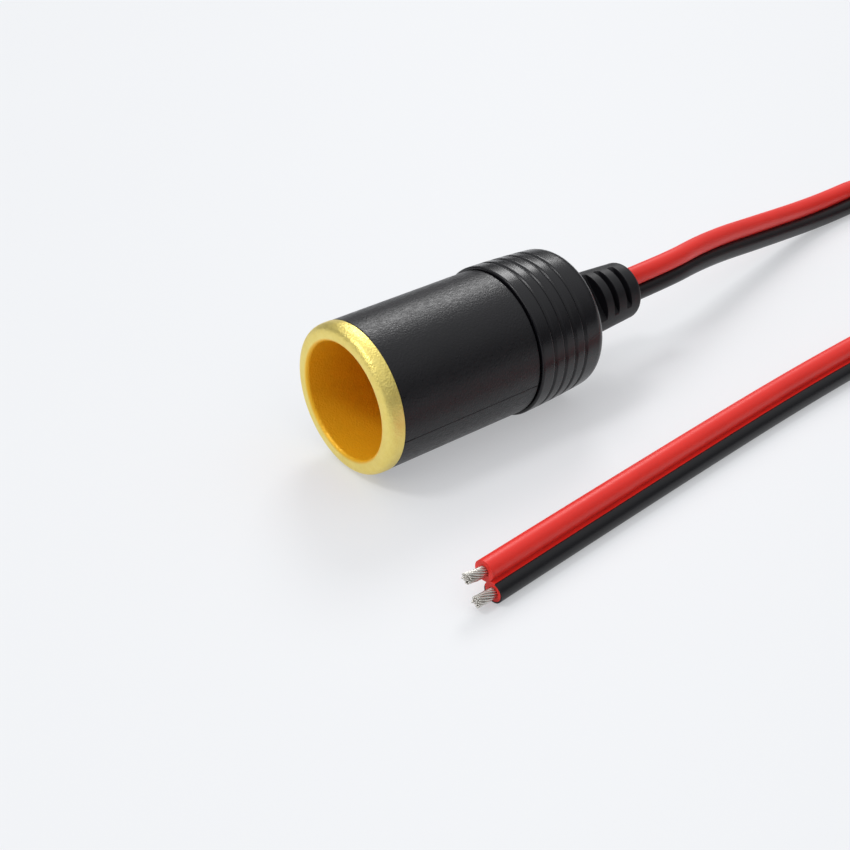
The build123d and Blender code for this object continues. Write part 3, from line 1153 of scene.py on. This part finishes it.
@dataclass
class Boot:
    """Slotted boot that the lead comes out of."""

    axis: TurningAxis
    base: float = 48.2
    end: float = 65.0
    base_radius: float = 6.45
    end_radius: float = 5.4
    neck: float = 4.9
    flange: float = 6.3
    flange_front: float = 44.6
    flange_lip: float = 0.6
    flange_edge: float = 0.2
    base_round: tuple[Point, ...] = ((0.02, 0.25), (0.1, 0.08), (0.25, 0.0))
    wall_front: float = 45.9
    end_rounding: float = 1.2
    end_steps: int = 12
    row_pitch: float = 0.45
    turn_steps: int = 240
    slots: tuple[Point, ...] = ((4.5, 7.0), (9.0, 10.2), (12.4, 13.6))
    slot_floor: float = 3.753
    slot_turn: float = 45.0
    edge: float = 0.22
    lobe_radius: float = 1.85
    lobe_pitch: float = 3.6
    lead_gap: float = 0.06
    hole_rows: tuple[Point, ...] = ((0.0, 0.03), (0.12, 0.0), (3.0, 0.0))

    def body(self, station: float) -> float:
        """Give the plain tapered radius.

        Args:
            station: distance behind the mouth.

        Returns:
            The radius.
        """
        share = (station - self.base) / (self.end - self.base)
        return self.base_radius + (self.end_radius - self.base_radius) * share

    def slotted(self, station: float, radius: float, turn: float) -> float:
        """Cut the slots into the boot's outside.

        Args:
            station: distance behind the mouth.
            radius: plain radius.
            turn: angle about the axis, in radians.

        Returns:
            The radius with the slots cut in.
        """
        if station <= self.base or radius < self.end_radius - 0.2:
            return radius
        aside = (math.degrees(turn) - self.slot_turn + 90.0) % 180.0 - 90.0
        floor = self.slot_floor / max(math.cos(math.radians(aside)), 0.2)
        depth = max(0.0, radius - floor)
        along = station - self.base
        open_share = 0.0
        for start, stop in self.slots:
            inside = min(along - start, stop - along) / self.edge + 0.5
            share = min(1.0, max(0.0, inside))
            open_share = max(open_share, share * share * (3.0 - 2.0 * share))
        return radius - depth * open_share

    def lead_hole(self, turn: float) -> float:
        """Give the radius of the hole around the two lobes.

        Args:
            turn: angle about the lead's centre, in radians.

        Returns:
            The radius.
        """
        half = self.lobe_pitch / 2.0
        lobe = self.lobe_radius + self.lead_gap
        return half * abs(math.sin(turn)) + math.sqrt(lobe**2 - (half * math.cos(turn)) ** 2)

    def rows(self) -> list[Point]:
        """Give the outside's rows, close together at slot edges and at the rounded end.

        Returns:
            Station and radius of each row.
        """
        rounding = self.end_rounding
        last = self.end - rounding
        count = math.ceil((last - self.base) / self.row_pitch)
        stations = {round(self.base + self.row_pitch * step, 4) for step in range(1, count)}
        for start, stop in self.slots:
            for mark in (start, stop):
                stations |= {round(self.base + mark + self.edge * step / 6.0, 4) for step in range(-4, 5)}
        found = [
            (self.flange_front, self.neck - self.flange_lip),
            (self.flange_front, self.flange - self.flange_edge),
            (self.flange_front + self.flange_edge, self.flange),
            (self.wall_front, self.flange),
            (self.wall_front, self.neck),
            (self.base, self.neck),
            *((self.base + back, self.base_radius - under) for back, under in self.base_round),
        ]
        found += [(station, self.body(station)) for station in sorted(stations)]
        top = self.body(last)
        for step in range(self.end_steps + 1):
            angle = math.radians(90.0 * step / self.end_steps)
            found.append((last + rounding * math.sin(angle), top - rounding * (1.0 - math.cos(angle))))
        return found

    def build(self, vinyl: bpy.types.Material, offset: Point) -> None:
        """Make the boot with the hole that the lead fills.

        Args:
            vinyl: material of the boot.
            offset: place of the lead's centre at the boot's end, along X and Z.
        """
        rows = self.rows()
        turns = even_turns(self.turn_steps)
        points: list[Vector] = []
        size = len(rows) + len(self.hole_rows)
        shift = Vector((offset[0], 0.0, offset[1])) * MM
        for turn in turns:
            points += [self.axis.point(s, self.slotted(s, r, turn), turn) for s, r in rows]
            for back, wider in self.hole_rows:
                points.append(self.axis.point(self.end - back, self.lead_hole(turn) + wider, turn) + shift)
        faces: list[tuple[int, ...]] = []
        columns = len(turns)
        for column in range(columns):
            here, there = column * size, (column + 1) % columns * size
            for row in range(size - 1):
                faces.append((here + row, there + row, there + row + 1, here + row + 1))
        piece = mesh_piece("slotted_boot", points, faces)
        dress(piece, "boot_vinyl", vinyl)
        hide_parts("strain_relief")
        log.info("boot: %d faces", len(piece.data.polygons))


@dataclass
class ContactStack:
    """Contacts and insulators at the bottom of the shell."""

    axis: TurningAxis
    contact_front: float = 35.3
    sheet: float = 0.5
    insulator_front: float = 36.6
    insulator_rear: float = 38.0
    insulator_radius: float = 5.0
    contact_radius: float = 4.6
    plateau: float = 2.6
    slope: float = 0.6
    rivet_hole: float = 1.6
    rivet: float = 1.5
    head: float = 2.3
    head_height: float = 0.8
    dome_steps: int = 14
    clench: float = 1.95
    clench_height: float = 0.6
    clench_rear: float = 41.0
    earth_drop: float = 7.15
    earth_rivet: float = 1.1
    earth_head: float = 1.45
    earth_front: float = 37.3
    earth_rear: float = 39.9
    earth_clench: float = 0.7
    turn_steps: int = 128
    earth_steps: int = 64

    def washer(self) -> list[Corner]:
        """Give the insulating washer's section.

        Returns:
            Station, radius and rounding of each corner.
        """
        return [
            (self.insulator_front, self.rivet_hole, 0.05),
            (self.insulator_front, self.insulator_radius, 0.25),
            (self.insulator_rear, self.insulator_radius, 0.05),
            (self.insulator_rear, self.rivet_hole, 0.05),
        ]

    def dish(self) -> list[Corner]:
        """Give the dished contact's section.

        Returns:
            Station, radius and rounding of each corner.
        """
        front, brim = self.contact_front, self.insulator_front
        return [
            (front + self.sheet, self.rivet_hole, 0.05),
            (front + self.sheet, self.plateau, 0.2),
            (brim, self.plateau + self.slope, 0.3),
            (brim, self.contact_radius, 0.06),
            (brim - self.sheet, self.contact_radius, 0.15),
            (brim - self.sheet, self.plateau + self.slope, 0.2),
            (front, self.plateau, 0.3),
            (front, self.rivet_hole, 0.05),
        ]

    def pin(self) -> list[Point]:
        """Give the centre rivet's outline, from the top of its dome to its clenched end.

        Returns:
            Station and radius of each point.
        """
        bulge = (self.head**2 + self.head_height**2) / (2.0 * self.head_height)
        reach = math.asin(self.head / bulge)
        top = self.contact_front - self.head_height
        found: list[Point] = []
        for step in range(self.dome_steps + 1):
            angle = reach * step / self.dome_steps
            found.append((top + bulge * (1.0 - math.cos(angle)), bulge * math.sin(angle)))
        clench_front = self.clench_rear - self.clench_height
        found += [(self.contact_front, self.rivet), (clench_front, self.rivet), (clench_front, self.clench)]
        found += [(self.clench_rear, self.rivet), (self.clench_rear, 0.0)]
        return found

    def earth(self) -> list[Corner]:
        """Give the earth rivet's outline, from its head to its clenched end.

        Returns:
            Station, radius and rounding of each corner.
        """
        clench_front = self.earth_rear - self.earth_clench
        return [
            (self.earth_front, 0.0, 0.0),
            (self.earth_front, self.earth_rivet, 0.3),
            (self.insulator_rear, self.earth_head, 0.05),
            (self.insulator_rear, self.earth_rivet, 0.0),
            (clench_front, self.earth_rivet, 0.0),
            (clench_front, self.earth_head, 0.05),
            (self.earth_rear, self.earth_rivet, 0.3),
            (self.earth_rear, 0.0, 0.0),
        ]

    def build(self, brass: bpy.types.Material, fibre: bpy.types.Material) -> None:
        """Make the pieces that show inside the bore.

        Args:
            brass: material of the contact and rivets.
            fibre: material of the insulator.
        """
        turns, few = even_turns(self.turn_steps), even_turns(self.earth_steps)
        low = self.axis.lowered(self.earth_drop)
        washer = turned_piece("fibre_washer", self.axis, rounded_profile(self.washer()), turns)
        dish = turned_piece("dished_contact", self.axis, rounded_profile(self.dish()), turns)
        pin = turned_piece("centre_pin", self.axis, self.pin(), turns, closed=False)
        stud_outline = rounded_profile(self.earth(), closed=False)
        stud = turned_piece("earth_pin", low, stud_outline, few, closed=False)
        pieces = (
            (washer, "inner_insulator", "insulator_fibre", fibre),
            (dish, "centre_contact", "contact_metal", brass),
            (pin, "centre_rivet", "contact_metal", brass),
            (stud, "negative_rivet", "contact_metal", brass),
        )
        for piece, node, slot, material in pieces:
            dress(piece, slot, material)
            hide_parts(node)
            log.info("%s: %d faces", piece.name, len(piece.data.polygons))


# The studio


@dataclass(frozen=True)
class SoftBox:
    """Square light that faces the part, in metres and watts."""

    name: str
    place: tuple[float, float, float]
    side: float
    power: float

    def hang(self) -> None:
        """Hang the light and aim it at the part."""
        data = bpy.data.lights.new(self.name, "AREA")
        data.size, data.energy = self.side, self.power
        light = bpy.data.objects.new(self.name, data)
        light.location = self.place
        aim = Vector((0.0, 0.0, 0.01)) - light.location
        light.rotation_euler = aim.to_track_quat("-Z", "Y").to_euler()
        bpy.context.scene.collection.objects.link(light)


@dataclass
class Studio:
    """Pale table, soft light and the camera."""

    camera_place: tuple[float, float, float] = (0.1756, -0.1550, 0.1453)
    camera_tilt: tuple[float, float] = (57.5, 51.5)
    lens: float = 63.74
    table_size: float = 40.0
    zenith: float = 0.96
    horizon: float = 0.08
    dome_band: tuple[float, float] = (0.05, 0.95)
    dome_colour: Colour = (0.97, 0.985, 1.0)
    boxes: tuple[SoftBox, ...] = (
        SoftBox("back_box", (-1.19, 1.20, 1.42), 0.75, 14.0),
        SoftBox("top_box", (-0.37, -1.08, 1.88), 0.45, 10.5),
        SoftBox("mouth_box", (-0.3, -2.2, 0.9), 0.9, 6.0),
    )

    def camera(self) -> None:
        """Set up the camera at the photograph's angle."""
        data = bpy.data.cameras.new("camera")
        data.lens = self.lens
        data.sensor_width = 36.0
        data.clip_start = 0.01
        camera = bpy.data.objects.new("camera", data)
        camera.location = self.camera_place
        tilt, turn = self.camera_tilt
        camera.rotation_euler = (math.radians(tilt), 0.0, math.radians(turn))
        bpy.context.scene.collection.objects.link(camera)
        bpy.context.scene.camera = camera

    def table(self, finish: bpy.types.Material) -> None:
        """Lay the table.

        Args:
            finish: its material.
        """
        half = self.table_size / 2.0
        mesh = bpy.data.meshes.new("table")
        corners = [(-half, -half, 0.0), (half, -half, 0.0), (half, half, 0.0), (-half, half, 0.0)]
        mesh.from_pydata(corners, [], [(0, 1, 2, 3)])
        mesh.materials.append(finish)
        table = bpy.data.objects.new("table", mesh)
        bpy.context.scene.collection.objects.link(table)

    def sky(self) -> None:
        """Light the scene from a dome that is brighter overhead."""
        world = bpy.data.worlds.new("studio_dome")
        bpy.context.scene.world = world
        world.use_nodes = True
        tree = world.node_tree
        place = tree.nodes.new("ShaderNodeTexCoord")
        split = tree.nodes.new("ShaderNodeSeparateXYZ")
        tree.links.new(place.outputs["Generated"], split.inputs["Vector"])
        rise = tree.nodes.new("ShaderNodeMapRange")
        rise.interpolation_type = "SMOOTHSTEP"
        rise.inputs["From Min"].default_value, rise.inputs["From Max"].default_value = self.dome_band
        rise.inputs["To Min"].default_value = self.horizon
        rise.inputs["To Max"].default_value = self.zenith
        tree.links.new(split.outputs["Z"], rise.inputs["Value"])
        background = tree.nodes["Background"]
        background.inputs["Color"].default_value = (*self.dome_colour, 1.0)
        tree.links.new(rise.outputs["Result"], background.inputs["Strength"])

    def light(self) -> None:
        """Set up the dome and the soft boxes."""
        self.sky()
        for box in self.boxes:
            box.hang()


# The palette


JET: Colour = (0.0046, 0.0043, 0.0060)
JET_DRIFT: Colour = (0.0070, 0.0067, 0.0086)


@dataclass(frozen=True)
class Palette:
    """Finishes of the part and the table."""

    brass: Finish = BoreShadeFinish(
        name="matte_gold",
        base=(0.92, 0.76, 0.24),
        second=(0.85, 0.67, 0.17),
        roughness=0.42,
        metallic=1.0,
        patch_scale=900.0,
        smear=0.12,
        grain_scale=2700.0,
        grain_pits=0.5,
        grain_height=0.0001,
        grain_strength=1.0,
        # Painted shade inside the bore: a darker orange, duller metal.
        deep=(0.93, 0.50, 0.012),
        shade_metallic=0.3,
        axis_height=0.013891,
        shade_inner=0.0107,
        shade_outer=0.0112,
    )
    sleeve: Finish = Finish(
        name="grained_black",
        base=JET,
        second=JET_DRIFT,
        roughness=0.37,
        specular=0.36,
        smear=0.3,
        smear_scale=2600.0,
        grain_scale=2900.0,
        grain_pits=0.5,
        grain_height=0.00006,
        grain_strength=1.0,
    )
    cap: Finish = Finish(
        name="satin_black",
        base=JET,
        second=JET_DRIFT,
        roughness=0.27,
        specular=0.36,
        smear=0.12,
        grain_scale=5200.0,
        grain_pits=0.3,
        grain_height=0.00002,
        grain_strength=0.5,
    )
    boot: Finish = Finish(
        name="soft_black",
        base=JET,
        second=JET_DRIFT,
        roughness=0.46,
        specular=0.3,
        grain_scale=4200.0,
        grain_height=0.00002,
    )
    red: Finish = Finish(
        name="red_vinyl",
        base=(0.84, 0.032, 0.022),
        second=(0.74, 0.026, 0.019),
        roughness=0.42,
        specular=0.3,
        patch_scale=120.0,
        smear=0.12,
        grain_scale=2600.0,
        grain_pits=0.15,
        grain_height=0.00001,
        grain_strength=0.35,
    )
    black: Finish = Finish(
        name="black_vinyl",
        base=JET,
        second=JET_DRIFT,
        roughness=0.36,
        specular=0.32,
        grain_scale=2600.0,
        grain_pits=0.15,
        grain_height=0.00001,
        grain_strength=0.35,
    )
    tinned: Finish = Finish(
        name="tinned_copper",
        base=(0.72, 0.70, 0.66),
        second=(0.50, 0.46, 0.40),
        roughness=0.28,
        metallic=1.0,
        patch_scale=1500.0,
        smear=0.2,
        smear_scale=1200.0,
        grain_scale=6000.0,
        grain_height=0.00001,
    )
    contact: Finish = Finish(
        name="stamped_brass",
        base=(0.80, 0.62, 0.30),
        second=(0.66, 0.48, 0.20),
        roughness=0.32,
        metallic=1.0,
        patch_scale=600.0,
        smear=0.18,
        smear_scale=900.0,
        grain_scale=5000.0,
        grain_height=0.00001,
    )
    fibre: Finish = Finish(
        name="pressed_fibre",
        base=(0.20, 0.07, 0.035),
        second=(0.13, 0.045, 0.025),
        roughness=0.6,
        patch_scale=1400.0,
        patch_amount=0.9,
        grain_scale=2400.0,
        grain_height=0.00003,
    )
    solder: Finish = Finish(
        name="bright_solder",
        base=(0.66, 0.66, 0.67),
        second=(0.5, 0.5, 0.52),
        roughness=0.25,
        metallic=1.0,
        patch_scale=900.0,
        grain_scale=1500.0,
        grain_height=0.00002,
    )
    table: Finish = TableFinish(
        name="pale_table",
        base=(0.845, 0.855, 0.875),
        second=(0.86, 0.868, 0.885),
        roughness=0.5,
        specular=0.25,
        patch_scale=4.0,
        smear=0.08,
        smear_scale=6.0,
        grain_scale=1500.0,
        grain_height=0.00001,
        grain_strength=0.2,
        glow=0.45,
    )


def dress_hidden_nodes(
    tinned: bpy.types.Material,
    solder: bpy.types.Material,
    contact: bpy.types.Material,
    fibre: bpy.types.Material,
) -> None:
    """Give the hidden hardware behind the shell its finishes.

    Args:
        tinned: strands of the wires.
        solder: solder mounds.
        contact: solder tags.
        fibre: outer insulator.
    """
    finishes = {
        "outer_insulator": fibre,
        "positive_tag": contact,
        "negative_tag": contact,
        "positive_strands": tinned,
        "negative_strands": tinned,
        "positive_solder": solder,
        "negative_solder": solder,
    }
    for node, material in finishes.items():
        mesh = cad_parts[node].data
        mesh.materials.clear()
        mesh.materials.append(material)


def main() -> None:
    """Build the camera, the lead, the socket and the studio."""
    logging.basicConfig(level=logging.INFO, format="%(name)s: %(message)s")
    bpy.context.scene.view_settings.view_transform = "Standard"
    studio = Studio()
    studio.camera()
    effects = Effects()
    palette = Palette()
    red, black = palette.red.build(effects), palette.black.build(effects)
    tinned, contact = palette.tinned.build(effects), palette.contact.build(effects)
    fibre, solder = palette.fibre.build(effects), palette.solder.build(effects)
    lead = TwinLead()
    lead.build(red, black, tinned)
    low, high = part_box("contact_shell")
    axis = TurningAxis(mouth=low.y / MM, height=(low.z + high.z) / 2.0 / MM)
    ContactShell(axis).build(palette.brass.build(effects))
    OuterSleeve(axis).build(palette.sleeve.build(effects))
    RearCap(axis).build(palette.cap.build(effects))
    boot = Boot(axis)
    boot.build(palette.boot.build(effects), lead.offset_at(axis.mouth + boot.end))
    ContactStack(axis).build(contact, fibre)
    dress_hidden_nodes(tinned, solder, contact, fibre)
    studio.table(palette.table.build(effects))
    studio.light()


if __name__ == "__main__":
    main()
